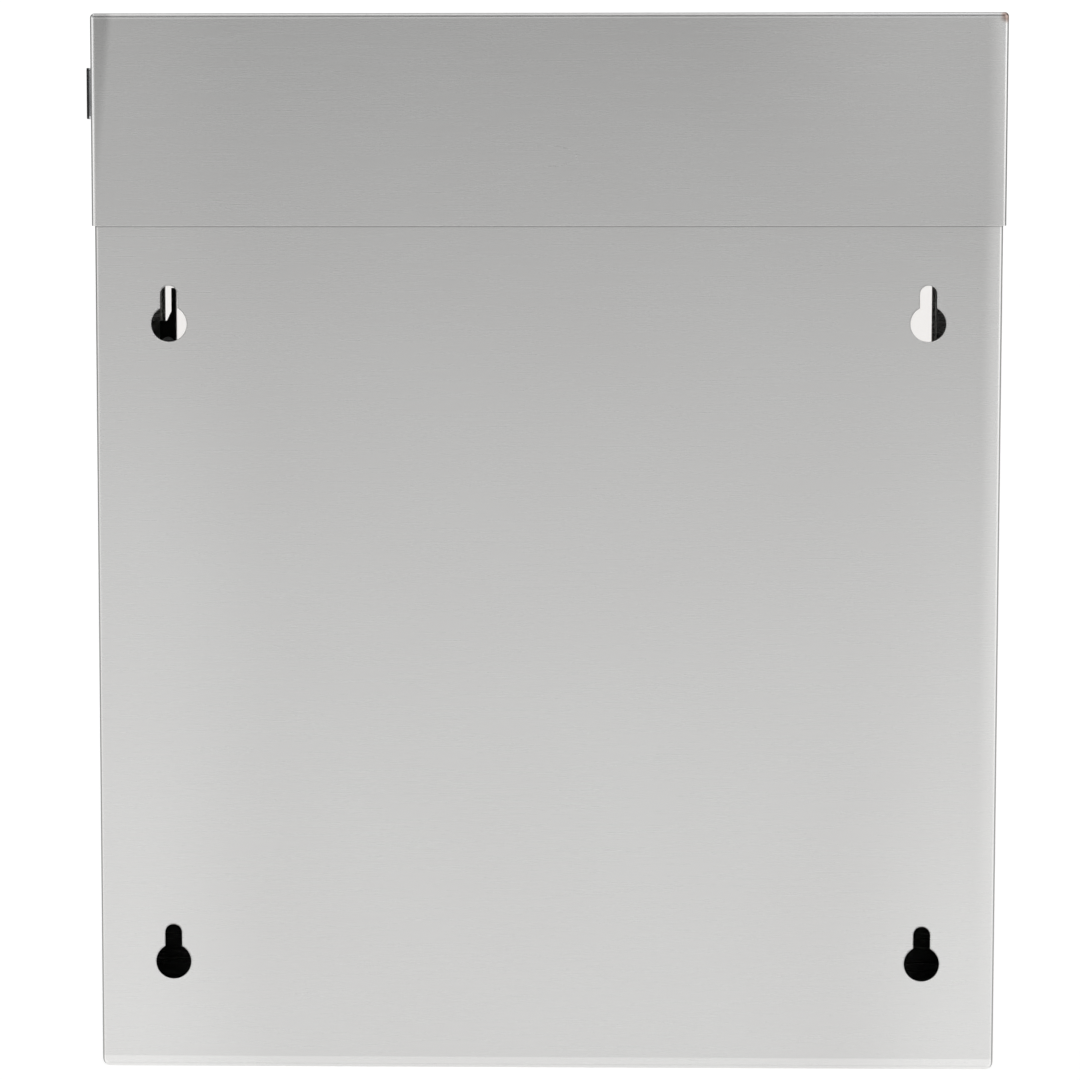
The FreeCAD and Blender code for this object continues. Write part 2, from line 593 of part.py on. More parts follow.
def lock_catch():
    """An angle welded inside the shell's side, with the tab that the cam turns under."""
    body = new_part("lock_catch")
    wall = f"({SIDE} - size.gauge)"
    front, back = f"{LOCK_Y} - size.catch_front", f"{LOCK_Y} - size.catch_back"
    top = "size.catch_tab + size.catch_thick"
    add(body, "XY_Plane", "size.catch_low", top,
        lambda s: rectangle(s, f"{wall} - size.catch_thick", wall, front, back))
    add(body, "XY_Plane", "size.catch_tab", top, lambda s: rectangle(s, "size.catch_in", wall, front, back))
    return body


# ---- all of it -----------------------------------------------------------------------

nodes = [
    body_shell(), front_panel(),
    lid_shell(), lid_pads(),
    flap_panel(), flap_rail(), flap_rod(),
    flap_bearing("flap_bearing_left", -1), flap_bearing("flap_bearing_right", 1), rod_clips(),
    flap_buffer(), buffer_rivet(), strike_plate(),
    lock_housing(), lock_gasket(),
    ring_part("lock_washer", f"{LID_SIDE} - size.washer_thick", LID_SIDE, "size.washer_dia", BARREL_HOLE),
    lock_nut(), lock_plug(), lock_wafers(), lock_cam(),
    ring_part("cam_washer", f"{CAM_IN} - size.cam_washer_thick", CAM_IN, "size.cam_washer", "size.screw_dia"),
    cam_screw(), dust_cover(), cover_pin(), lock_catch(),
]
doc.recompute()

for item in doc.Objects:
    if "Invalid" in item.State or "Error" in item.State:
        raise RuntimeError(f"{item.Label} failed: {item.State}")
for node in nodes:
    if node.Shape.isNull() or not node.Shape.isValid():
        raise RuntimeError(f"{node.Label} has no valid shape")

os.makedirs("parts", exist_ok=True)
for node in nodes:
    node.Shape.exportStep(f"parts/{node.Label}.step")
    box = node.Shape.BoundBox
    print(f"{node.Label:20s} solids {len(node.Shape.Solids)}  volume {node.Shape.Volume:10.1f}  "
          f"x {box.XMin:8.2f} {box.XMax:8.2f}  y {box.YMin:8.2f} {box.YMax:7.2f}  "
          f"z {box.ZMin:8.2f} {box.ZMax:8.2f}")
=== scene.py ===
import json
import math
import bmesh
import bpy
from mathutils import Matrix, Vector


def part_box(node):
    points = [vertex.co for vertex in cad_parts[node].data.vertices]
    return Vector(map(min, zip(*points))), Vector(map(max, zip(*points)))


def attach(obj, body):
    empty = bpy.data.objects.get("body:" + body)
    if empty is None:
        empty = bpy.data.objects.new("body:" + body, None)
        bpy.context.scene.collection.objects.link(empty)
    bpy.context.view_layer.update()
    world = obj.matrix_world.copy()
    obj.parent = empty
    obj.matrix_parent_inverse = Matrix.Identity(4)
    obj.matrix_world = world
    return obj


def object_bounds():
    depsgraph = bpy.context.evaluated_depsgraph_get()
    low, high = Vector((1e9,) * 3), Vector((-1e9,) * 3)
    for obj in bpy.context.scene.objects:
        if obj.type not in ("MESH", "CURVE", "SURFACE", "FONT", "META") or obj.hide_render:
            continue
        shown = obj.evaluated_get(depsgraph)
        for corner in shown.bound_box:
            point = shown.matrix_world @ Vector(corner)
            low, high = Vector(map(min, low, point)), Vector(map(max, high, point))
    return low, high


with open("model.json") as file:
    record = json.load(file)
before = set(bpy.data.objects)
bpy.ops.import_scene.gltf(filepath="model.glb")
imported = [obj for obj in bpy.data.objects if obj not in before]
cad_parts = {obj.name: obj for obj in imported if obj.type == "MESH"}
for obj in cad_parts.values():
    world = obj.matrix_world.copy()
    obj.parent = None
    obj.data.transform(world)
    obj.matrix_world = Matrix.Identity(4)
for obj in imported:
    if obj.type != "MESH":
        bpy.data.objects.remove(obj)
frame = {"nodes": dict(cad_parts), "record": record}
cadLow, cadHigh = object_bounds()
nodes = frame["nodes"]
scene = bpy.context.scene
mm = 0.001
lidLow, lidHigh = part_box("lid_shell")
boxLow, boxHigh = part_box("body_shell")
boxMiddle = (boxLow + boxHigh) / 2
noiseLow, noiseHigh = 0.3, 0.7  # most of a noise pattern lies between these
print("frame loaded:", len(nodes), "CAD nodes")


def hexToLinear(text):
    channels = [int(text.lstrip("#")[i:i + 2], 16) / 255 for i in (0, 2, 4)]
    return [c / 12.92 if c <= 0.04045 else ((c + 0.055) / 1.055) ** 2.4 for c in channels] + [1.0]


def addNode(tree, kind, inputs=None, **settings):
    node = tree.nodes.new(kind)
    for name, value in settings.items():
        setattr(node, name, value)
    for socket, value in (inputs or {}).items():
        if isinstance(value, bpy.types.NodeSocket):
            tree.links.new(value, node.inputs[socket])
        else:
            node.inputs[socket].default_value = value
    return node


def newMaterial(name):
    material = bpy.data.materials.new(name)
    material.use_nodes = True
    tree = material.node_tree
    tree.nodes.clear()
    shader = addNode(tree, "ShaderNodeBsdfPrincipled")
    addNode(tree, "ShaderNodeOutputMaterial", {"Surface": shader.outputs["BSDF"]})
    return material, tree, shader


def paint(material, *names):
    for name in names:
        mesh = nodes[name].data
        mesh.materials.clear()
        mesh.materials.append(material)


def addMesh(name, bm, material, body):
    mesh = bpy.data.meshes.new(name)
    bmesh.ops.recalc_face_normals(bm, faces=bm.faces)
    bm.to_mesh(mesh)
    bm.free()
    for face in mesh.polygons:
        face.use_smooth = True
    mesh.materials.append(material)
    piece = bpy.data.objects.new(name, mesh)
    scene.collection.objects.link(piece)
    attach(piece, body)
    return piece


# Stainless sheet brushed with a belt: long fine scratches along the sheet, so highlights
# spread up and down and stay narrower from side to side.
brushed = {
    "light": "#dddddc", "dark": "#dad9d8",
    "roughnessLow": 0.258, "roughnessHigh": 0.282, "anisotropy": 0.70,
    "grainPitch": 0.55 * mm,  # real belt marks are nearer 0.1 mm, too fine to show here
    "grainLength": 26 * mm,
    "scratchPitch": 1.7 * mm, "scratchLength": 70 * mm, "scratchShare": 0.35,
    "cloudSize": 80 * mm, "cloudShare": 0.45, "toneFrom": 0.32, "toneTo": 0.68,
    "bumpDepth": 0.006 * mm, "bumpStrength": 0.045,
    # the part of each bend that faces mostly sideways is drawn darker in the colour, a painted dark
    # reflection; where it starts and ends is the sideways share of the way the surface faces
    "bendSoft": 0.12, "bendFrom": 0.62, "bendTo": 0.97, "bendEnd": 0.999, "bendShade": 0.42,
    # faces that look into the box are drawn darker in the colour than the outer ones: painted shade inside
    # the box
    "insideShade": 0.75, "insideFrom": -10 * mm,
}
levelFrom = 0.7  # a face that points up or down by more than this counts as level


def grainCoordinates(tree):
    # x + y runs along the sheet on upright faces; z is across the grain there, y on level ones
    place = addNode(tree, "ShaderNodeTexCoord")
    axes = addNode(tree, "ShaderNodeSeparateXYZ", {"Vector": place.outputs["Object"]})
    facing = addNode(tree, "ShaderNodeSeparateXYZ", {"Vector": place.outputs["Normal"]})
    upright = addNode(tree, "ShaderNodeMath", {0: facing.outputs["Z"]}, operation="ABSOLUTE")
    level = addNode(tree, "ShaderNodeMath", {0: upright.outputs[0], 1: levelFrom}, operation="GREATER_THAN")
    along = addNode(tree, "ShaderNodeMath", {0: axes.outputs["X"], 1: axes.outputs["Y"]}, operation="ADD")
    across = addNode(tree, "ShaderNodeMix", {0: level.outputs[0], 2: axes.outputs["Z"], 3: axes.outputs["Y"]})
    return place, along.outputs[0], across.outputs[0], level.outputs[0]


def streaks(tree, along, across, length, pitch, detail):
    slow = addNode(tree, "ShaderNodeMath", {0: along, 1: 1 / length}, operation="MULTIPLY")
    fast = addNode(tree, "ShaderNodeMath", {0: across, 1: 1 / pitch}, operation="MULTIPLY")
    spot = addNode(tree, "ShaderNodeCombineXYZ", {"X": slow.outputs[0], "Y": fast.outputs[0]})
    noise = addNode(tree, "ShaderNodeTexNoise",
                    {"Vector": spot.outputs[0], "Scale": 1.0, "Detail": detail, "Roughness": 0.6})
    return noise.outputs["Fac"]


def brushedStainless(name, finish, tints, bands, paintedReflections):
    material, tree, shader = newMaterial(name)
    place, along, across, level = grainCoordinates(tree)
    grain = streaks(tree, along, across, finish["grainLength"], finish["grainPitch"], 3.0)
    scratches = streaks(tree, along, across, finish["scratchLength"], finish["scratchPitch"], 2.0)
    cloud = addNode(tree, "ShaderNodeTexNoise",
                    {"Vector": place.outputs["Object"], "Scale": 1 / finish["cloudSize"], "Detail": 2.0})
    both = addNode(tree, "ShaderNodeMix", {0: finish["scratchShare"], 2: grain, 3: scratches})
    tone = addNode(tree, "ShaderNodeMix",
                   {0: finish["cloudShare"], 2: both.outputs[0], 3: cloud.outputs["Fac"]})
    spread = addNode(tree, "ShaderNodeMapRange",
                     {"Value": tone.outputs[0], "From Min": finish["toneFrom"], "From Max": finish["toneTo"]})
    colour = addNode(tree, "ShaderNodeMix",
                     {0: spread.outputs[0], 6: hexToLinear(finish["dark"]), 7: hexToLinear(finish["light"])},
                     data_type="RGBA")
    surface = shadeBends(tree, place, colour.outputs[2], finish)
    surface = shadeInside(tree, place, surface, finish)
    for reflection in paintedReflections:
        surface = addPaintedReflection(tree, place, surface, reflection)
    for tint in tints:
        surface = addTint(tree, place.outputs["Object"], surface, tint)
    for band in bands:
        surface = addPaintedBand(tree, place, surface, band)
    rough = addNode(tree, "ShaderNodeMapRange",
                    {"Value": both.outputs[0], "From Min": noiseLow, "From Max": noiseHigh,
                     "To Min": finish["roughnessLow"], "To Max": finish["roughnessHigh"]})
    bump = addNode(tree, "ShaderNodeBump",
                   {"Height": both.outputs[0], "Strength": finish["bumpStrength"],
                    "Distance": finish["bumpDepth"]})
    stretch = addNode(tree, "ShaderNodeMix", {0: level, 4: (0, 0, 1), 5: (0, 1, 0)}, data_type="VECTOR")
    tree.links.new(surface, shader.inputs["Base Color"])
    tree.links.new(rough.outputs[0], shader.inputs["Roughness"])
    tree.links.new(bump.outputs[0], shader.inputs["Normal"])
    tree.links.new(stretch.outputs[1], shader.inputs["Tangent"])
    shader.inputs["Metallic"].default_value = 1.0
    shader.inputs["Anisotropic"].default_value = finish["anisotropy"]
    return material


bloom = {"core": 0.35, "strength": 0.8}


def addTint(tree, position, surface, tint):
    # the brownish bloom that heat leaves beside a weld, strongest over its core
    gap = addNode(tree, "ShaderNodeVectorMath", {0: position, 1: tint["at"]}, operation="DISTANCE")
    fade = addNode(tree, "ShaderNodeMapRange",
                   {"Value": gap.outputs["Value"], "From Min": tint["size"] * bloom["core"],
                    "From Max": tint["size"], "To Min": bloom["strength"], "To Max": 0.0},
                   interpolation_type="SMOOTHSTEP")
    mixed = addNode(tree, "ShaderNodeMix",
                    {0: fade.outputs[0], 6: surface, 7: hexToLinear(tint["colour"])}, data_type="RGBA")
    return mixed.outputs[2]


def shade(tree, surface, amount, factor):
    # multiplies the colour by the factor where the amount is 1
    scaled = addNode(tree, "ShaderNodeMapRange", {"Value": amount, "To Min": 1.0, "To Max": factor})
    return addNode(tree, "ShaderNodeVectorMath", {0: surface, "Scale": scaled.outputs[0]},
                   operation="SCALE").outputs[0]


def smoothBetween(tree, value, start, end):
    step = addNode(tree, "ShaderNodeMapRange", {"Value": value, "From Min": start, "From Max": end},
                   interpolation_type="SMOOTHSTEP")
    return step.outputs[0]


# draws the sideways part of each bend darker in the colour: a painted dark reflection
def shadeBends(tree, place, surface, finish):
    facing = addNode(tree, "ShaderNodeSeparateXYZ", {"Vector": place.outputs["Normal"]})
    sideways = addNode(tree, "ShaderNodeMath", {0: facing.outputs["X"]}, operation="ABSOLUTE").outputs[0]
    start = smoothBetween(tree, sideways, finish["bendFrom"] - finish["bendSoft"], finish["bendFrom"])
    end = smoothBetween(tree, sideways, finish["bendEnd"], finish["bendTo"])
    bend = addNode(tree, "ShaderNodeMath", {0: start, 1: end}, operation="MULTIPLY")
    return shade(tree, surface, bend.outputs[0], finish["bendShade"])


def addPaintedBand(tree, place, surface, band):
    # a level band below its edge, drawn lighter or darker in the colour: a painted highlight where lighter,
    # painted shade where darker
    height = addNode(tree, "ShaderNodeSeparateXYZ", {"Vector": place.outputs["Object"]}).outputs["Z"]
    foot = band["edge"] - band["wide"]
    above = smoothBetween(tree, height, foot - band["fade"], foot)
    below = smoothBetween(tree, height, band["edge"] + band["fade"], band["edge"])
    line = addNode(tree, "ShaderNodeMath", {0: above, 1: below}, operation="MULTIPLY")
    return shade(tree, surface, line.outputs[0], band["paintedLight"])


# draws the faces that look into the box darker in the colour: painted shade inside the box
def shadeInside(tree, place, surface, finish):
    outward = addNode(tree, "ShaderNodeVectorMath", {0: place.outputs["Object"], 1: boxMiddle},
                      operation="SUBTRACT")
    facing = addNode(tree, "ShaderNodeVectorMath", {0: outward.outputs[0], 1: place.outputs["Normal"]},
                     operation="DOT_PRODUCT")
    inside = addNode(tree, "ShaderNodeMath", {0: facing.outputs["Value"], 1: finish["insideFrom"]},
                     operation="LESS_THAN")
    return shade(tree, surface, inside.outputs[0], finish["insideShade"])


backwardFrom, backwardTo = 0.05, 0.25  # how far a face points back before the painted reflections show, and show in full


def addPaintedReflection(tree, place, surface, reflection):
    # an upright band along the back, drawn in the colour, that stands for reflections in sheet
    # that isn't quite flat; its strength changes evenly from foot to top
    axes = addNode(tree, "ShaderNodeSeparateXYZ", {"Vector": place.outputs["Object"]})
    below = addNode(tree, "ShaderNodeMath", {0: axes.outputs["Z"], 1: reflection["top"]}, operation="SUBTRACT")
    lean = addNode(tree, "ShaderNodeMath", {0: below.outputs[0], 1: reflection["lean"]}, operation="MULTIPLY")
    across = addNode(tree, "ShaderNodeMath", {0: axes.outputs["X"], 1: lean.outputs[0]}, operation="ADD")
    near = smoothBetween(tree, across.outputs[0], reflection["edge"] - reflection["reach"],
                         reflection["edge"] - reflection["reach"] + reflection["soft"])
    level = addNode(tree, "ShaderNodeMapRange",
                    {"Value": axes.outputs["Z"], "From Min": reflection["foot"], "From Max": reflection["top"],
                     "To Min": reflection["atFoot"] - 1, "To Max": reflection["atTop"] - 1})
    # the painted reflections fade where a face turns away from the back, so the sides, top and front have
    # none
    facing = addNode(tree, "ShaderNodeSeparateXYZ", {"Vector": place.outputs["Normal"]})
    onBack = smoothBetween(tree, facing.outputs["Y"], backwardFrom, backwardTo)
    there = addNode(tree, "ShaderNodeMath", {0: near, 1: onBack}, operation="MULTIPLY")
    part = addNode(tree, "ShaderNodeMath", {0: there.outputs[0], 1: level.outputs[0]}, operation="MULTIPLY")
    factor = addNode(tree, "ShaderNodeMath", {0: part.outputs[0], 1: 1.0}, operation="ADD")
    return addNode(tree, "ShaderNodeVectorMath", {0: surface, "Scale": factor.outputs[0]},
                   operation="SCALE").outputs[0]


# a painted highlight along the hood's top bend
hoodBands = [{"edge": lidHigh.z - 0.25 * mm, "wide": 1.6 * mm, "fade": 0.2 * mm, "paintedLight": 1.3}]
boxBands = [
    # a fine painted shadow line at the hood's lower edge, and a painted reflection, a light band above the
    # bottom bend
    {"edge": lidLow.z, "wide": 0.35 * mm, "fade": 0.45 * mm, "paintedLight": 0.62},
    {"edge": boxLow.z + 4.0 * mm, "wide": 2.2 * mm, "fade": 0.3 * mm, "paintedLight": 1.12},
]
# each entry below is a painted reflection, an upright band drawn lighter or darker in the colour; its lean
# narrows it downwards; every strength here is set one by one, and together they can push the colour above 1
# at the hood's end away from the lock
hoodSpan = {"foot": lidLow.z, "top": lidHigh.z}
boxSpan = {"foot": boxLow.z, "top": lidLow.z}
hoodReflections = [
    {"edge": lidHigh.x, "reach": 8.5 * mm, "soft": 3.2 * mm, "lean": 0.08,
     "atFoot": 1.0, "atTop": 0.74, **hoodSpan},
    {"edge": lidHigh.x, "reach": 1.7 * mm, "soft": 0.4 * mm, "lean": 0.0,
     "atFoot": 1.3, "atTop": 1.8, **hoodSpan},
    {"edge": lidHigh.x, "reach": 60 * mm, "soft": 50 * mm, "lean": 0.0,
     "atFoot": 1.03, "atTop": 1.07, **hoodSpan},
    {"edge": lidLow.x, "reach": -8 * mm, "soft": -8 * mm, "lean": 0.0,
     "atFoot": 1.22, "atTop": 1.32, **hoodSpan},
    {"edge": lidLow.x, "reach": -110 * mm, "soft": -80 * mm, "lean": 0.0,
     "atFoot": 1.0, "atTop": 1.15, **hoodSpan},
]
# painted reflections on the box's back, upright bands drawn lighter or darker in the colour
boxReflections = [
    {"edge": boxHigh.x, "reach": 70 * mm, "soft": 65 * mm, "lean": 0.0,
     "atFoot": 1.10, "atTop": 1.06, **boxSpan},
    {"edge": boxLow.x, "reach": -60 * mm, "soft": -55 * mm, "lean": 0.0,
     "atFoot": 1.11, "atTop": 1.0, **boxSpan},
    {"edge": boxLow.x, "reach": -8 * mm, "soft": -7 * mm, "lean": 0.0,
     "atFoot": 1.0, "atTop": 1.30, **boxSpan},
]
weldTints = [
    {"at": (lidLow.x + 0.6 * mm, lidHigh.y, lidHigh.z - 1.2 * mm), "size": 3.4 * mm, "colour": "#a58679"},
    {"at": (lidHigh.x - 0.6 * mm, lidLow.y, lidHigh.z - 1.0 * mm), "size": 2.8 * mm, "colour": "#a8917a"},
    {"at": (lidLow.x + 0.6 * mm, lidLow.y, lidHigh.z - 1.0 * mm), "size": 2.6 * mm, "colour": "#8f7868"},
]

boxSteel = brushedStainless("brushed stainless sheet", brushed, [], boxBands, boxReflections)
hoodSteel = brushedStainless("brushed stainless hood", brushed, weldTints, hoodBands, hoodReflections)
paint(boxSteel, "body_shell", "front_panel")
paint(hoodSteel, "lid_shell")


# Plain metals: one recipe with a soft mottle, since small parts are tumbled or plated.
plainMetals = {
    "rolled stainless": {"light": "#c9c7c3", "dark": "#aeaca8", "roughness": (0.22, 0.34), "mottle": 6 * mm,
                         "nodes": ("flap_rod", "flap_bearing_left", "flap_bearing_right", "lock_catch")},
    "bright zinc plate": {"light": "#cfd0cc", "dark": "#a9aca8", "roughness": (0.24, 0.42), "mottle": 3 * mm,
                          "nodes": ("rod_clips", "lock_washer", "lock_nut", "lock_cam", "cam_washer",
                                    "cam_screw")},
    "chromed zinc casting": {"light": "#d6d7d8", "dark": "#bfc1c3", "roughness": (0.10, 0.18),
                             "mottle": 5 * mm, "nodes": ("lock_housing", "lock_plug", "cover_pin")},
    "extruded aluminium": {"light": "#cdd0d2", "dark": "#b4b7ba", "roughness": (0.30, 0.40), "mottle": 4 * mm,
                           "nodes": ("flap_rail", "buffer_rivet")},
    "stamped brass": {"light": "#d9bd76", "dark": "#b3924a", "roughness": (0.26, 0.40), "mottle": 2 * mm,
                      "nodes": ("lock_wafers",)},
}


mottleBump = {"strength": 0.15, "depth": 0.02 * mm}


def plainMetal(name, finish):
    material, tree, shader = newMaterial(name)
    place = addNode(tree, "ShaderNodeTexCoord")
    mottle = addNode(tree, "ShaderNodeTexNoise",
                     {"Vector": place.outputs["Object"], "Scale": 1 / finish["mottle"], "Detail": 4.0})
    spread = addNode(tree, "ShaderNodeMapRange",
                     {"Value": mottle.outputs["Fac"], "From Min": noiseLow, "From Max": noiseHigh})
    colour = addNode(tree, "ShaderNodeMix",
                     {0: spread.outputs[0], 6: hexToLinear(finish["dark"]), 7: hexToLinear(finish["light"])},
                     data_type="RGBA")
    low, high = finish["roughness"]
    rough = addNode(tree, "ShaderNodeMapRange",
                    {"Value": mottle.outputs["Fac"], "From Min": noiseLow, "From Max": noiseHigh,
                     "To Min": low, "To Max": high})
    bump = addNode(tree, "ShaderNodeBump",
                   {"Height": mottle.outputs["Fac"], "Strength": mottleBump["strength"],
                    "Distance": mottleBump["depth"]})
    tree.links.new(colour.outputs[2], shader.inputs["Base Color"])
    tree.links.new(rough.outputs[0], shader.inputs["Roughness"])
    tree.links.new(bump.outputs[0], shader.inputs["Normal"])
    shader.inputs["Metallic"].default_value = 1.0
    return material


for metalName, metalFinish in plainMetals.items():
    paint(plainMetal(metalName, metalFinish), *metalFinish["nodes"])


# Moulded nylon and rubber: fine spark texture from the mould, so the sheen is broken up.
mouldings = {
    "moulded black nylon": {"light": "#1c1c1d", "dark": "#0d0d0e", "roughness": 0.46, "grit": 0.35 * mm,
                            "ior": 1.53, "nodes": ("flap_buffer", "dust_cover")},
    "natural acetal": {"light": "#e4e4df", "dark": "#d8d8d2", "roughness": 0.40, "grit": 0.4 * mm,
                       "ior": 1.48, "nodes": ("strike_plate",)},
    "soft black rubber": {"light": "#242424", "dark": "#141414", "roughness": 0.82, "grit": 0.5 * mm,
                          "ior": 1.52, "nodes": ("lid_pads", "lock_gasket")},
}


sparkTexture = {"smoother": 0.06, "rougher": 0.08, "strength": 0.25, "depth": 0.04 * mm}


def moulded(name, finish):
    material, tree, shader = newMaterial(name)
    place = addNode(tree, "ShaderNodeTexCoord")
    grit = addNode(tree, "ShaderNodeTexNoise",
                   {"Vector": place.outputs["Object"], "Scale": 1 / finish["grit"], "Detail": 3.0})
    colour = addNode(tree, "ShaderNodeMix",
                     {0: grit.outputs["Fac"],
                      6: hexToLinear(finish["dark"]), 7: hexToLinear(finish["light"])},
                     data_type="RGBA")
    rough = addNode(tree, "ShaderNodeMapRange",
                    {"Value": grit.outputs["Fac"], "From Min": noiseLow, "From Max": noiseHigh,
                     "To Min": finish["roughness"] - sparkTexture["smoother"],
                     "To Max": finish["roughness"] + sparkTexture["rougher"]})
    bump = addNode(tree, "ShaderNodeBump",
                   {"Height": grit.outputs["Fac"], "Strength": sparkTexture["strength"],
                    "Distance": sparkTexture["depth"]})
    tree.links.new(colour.outputs[2], shader.inputs["Base Color"])
    tree.links.new(rough.outputs[0], shader.inputs["Roughness"])
    tree.links.new(bump.outputs[0], shader.inputs["Normal"])
    shader.inputs["IOR"].default_value = finish["ior"]
    return material


for mouldName, mouldFinish in mouldings.items():
    paint(moulded(mouldName, mouldFinish), *mouldFinish["nodes"])


# Cast acrylic: clear with a faint haze of fine rub marks, so the view through it stays bright.
acrylic = {"tint": "#f4f2f0", "ior": 1.49, "roughnessLow": 0.0, "roughnessHigh": 0.05, "rubSize": 25 * mm,
           "rubFrom": 0.45, "rubTo": 0.75}


def clearAcrylic(name, finish):
    material, tree, shader = newMaterial(name)
    place = addNode(tree, "ShaderNodeTexCoord")
    rubs = addNode(tree, "ShaderNodeTexNoise",
                   {"Vector": place.outputs["Object"], "Scale": 1 / finish["rubSize"], "Detail": 6.0})
    rough = addNode(tree, "ShaderNodeMapRange",
                    {"Value": rubs.outputs["Fac"], "From Min": finish["rubFrom"], "From Max": finish["rubTo"],
                     "To Min": finish["roughnessLow"], "To Max": finish["roughnessHigh"]})
    tree.links.new(rough.outputs[0], shader.inputs["Roughness"])
    shader.inputs["Base Color"].default_value = hexToLinear(finish["tint"])
    shader.inputs["Transmission Weight"].default_value = 1.0
    shader.inputs["IOR"].default_value = finish["ior"]
    return material


paint(clearAcrylic("clear cast acrylic", acrylic), "flap_panel")

# The flap's sawn side edges: acrylic that lets light through but is matt, drawn as its own thin strip
# that stands a little proud of the sheet, so that it shows.
sawnEdge = {"tint": "#f1f1ee", "ior": 1.49, "roughness": 0.55, "sawPitch": 0.3 * mm, "sawDepth": 0.02 * mm,
            "wide": 0.45 * mm, "proud": 0.08 * mm, "overFaces": 0.02 * mm, "shortEnds": 0.1 * mm,
            "bevel": 0.08 * mm}


def sawnAcrylic(name, finish):
    material, tree, shader = newMaterial(name)
    place = addNode(tree, "ShaderNodeTexCoord")
    marks = addNode(tree, "ShaderNodeTexNoise",
                    {"Vector": place.outputs["Object"], "Scale": 1 / finish["sawPitch"], "Detail": 2.0})
    bump = addNode(tree, "ShaderNodeBump", {"Height": marks.outputs["Fac"], "Distance": finish["sawDepth"]})
    tree.links.new(bump.outputs[0], shader.inputs["Normal"])
    shader.inputs["Base Color"].default_value = hexToLinear(finish["tint"])
    shader.inputs["Roughness"].default_value = finish["roughness"]
    shader.inputs["Transmission Weight"].default_value = 1.0
    shader.inputs["IOR"].default_value = finish["ior"]
    return material


# The punched walls of the keyholes aren't brushed, and are drawn matt and pale.
tornEdge = {"light": "#e4e4e2", "dark": "#c6c5c2", "roughness": (0.75, 0.95), "mottle": 0.8 * mm}
tornSteel = plainMetal("torn stainless edge", tornEdge)
# far below bare steel, to keep these narrow walls pale
tornSteel.node_tree.nodes["Principled BSDF"].inputs["Metallic"].default_value = 0.3
print("finishes made")


# A narrow rounded lip round each keyhole.
keyholeLip = {"width": 0.34 * mm, "height": 0.10 * mm, "neckHalf": 3.2 * mm, "rise": 10.6 * mm,
              "arcSteps": 40, "endSteps": 14}
beadSides = 6
wallMount = [m for m in frame["record"]["mounts"] if m["name"] == "wall_keyholes"][0]
holeRadius = wallMount["dims"]["hole_r_mm"] * mm
holeSpacing = (wallMount["dims"]["spacing_x_mm"] * mm, wallMount["dims"]["spacing_y_mm"] * mm)


def keyholeOutline(size):
    # clockwise seen from the front: round the entry from one side of the neck to the other, then up and over
    half = math.asin(size["neckHalf"] / holeRadius)
    steps = size["arcSteps"]
    points = []
    for i in range(steps + 1):
        angle = half + (2 * math.pi - 2 * half) * i / steps
        points.append((holeRadius * math.sin(angle), holeRadius * math.cos(angle)))
    for i in range(size["endSteps"] + 1):
        angle = math.pi * i / size["endSteps"]
        points.append((-size["neckHalf"] * math.cos(angle),
                       size["rise"] + size["neckHalf"] * math.sin(angle)))
    return points


def sweepLip(bm, outline, centre, level, size, outward):
    # a rounded bead that follows a closed outline in the XZ plane
    rings = []
    count = len(outline)
    for i in range(count):
        before, here, after = outline[i - 1], outline[i], outline[(i + 1) % count]
        run = Vector((after[0] - before[0], after[1] - before[1])).normalized()
        side = Vector((run.y, -run.x))
        ring = []
        for j in range(beadSides):
            turn = 2 * math.pi * j / beadSides
            out = size["width"] / 2 * math.cos(turn)
            lift = size["height"] * math.sin(turn)
            ring.append(bm.verts.new((centre[0] + here[0] + side.x * out, level + outward * lift,
                                      centre[1] + here[1] + side.y * out)))
        rings.append(ring)
    for i in range(count):
        first, second = rings[i], rings[(i + 1) % count]
        for j in range(beadSides):
            k = (j + 1) % beadSides
            bm.faces.new((first[j], first[k], second[k], second[j]))


lipMesh = bmesh.new()
for sideways in (-0.5, 0.5):
    for upDown in (-0.5, 0.5):
        centre = (sideways * holeSpacing[0], upDown * holeSpacing[1])
        sweepLip(lipMesh, keyholeOutline(keyholeLip), centre, 0.0, keyholeLip, 1)
addMesh("keyhole_lips", lipMesh, boxSteel, "mailbox")

# The same bead, tall and thin and set into the hole, lines each keyhole's wall.
keyholeWall = {"width": 0.10 * mm, "height": 0.33 * mm, "middle": -0.36 * mm}
wallMesh = bmesh.new()
for sideways in (-0.5, 0.5):
    for upDown in (-0.5, 0.5):
        centre = (sideways * holeSpacing[0], upDown * holeSpacing[1])
        sweepLip(wallMesh, keyholeOutline(keyholeLip), centre, keyholeWall["middle"], keyholeWall, 1)
addMesh("keyhole_walls", wallMesh, tornSteel, "mailbox")

# The letter slot has a lip too, on its outer face. Its heights are above the box's foot.
slotLip = {"width": 0.5 * mm, "height": 0.12 * mm, "half": 146.8 * mm, "low": 252 * mm, "high": 287 * mm,
           "inset": 0.12 * mm, "corner": 2 * mm, "cornerSteps": 8}


def slotOutline(size, low, high):
    points = []
    half = size["half"]
    spots = [(half, high, 0), (-half, high, 90), (-half, low, 180), (half, low, 270)]
    for across, up, start in spots:
        inX = math.copysign(size["corner"], across)
        inZ = size["corner"] if up == high else -size["corner"]
        for i in range(size["cornerSteps"] + 1):
            angle = math.radians(start + 90 * i / size["cornerSteps"])
            points.append((across - inX + size["corner"] * math.cos(angle),
                           up - inZ + size["corner"] * math.sin(angle)))
    return points


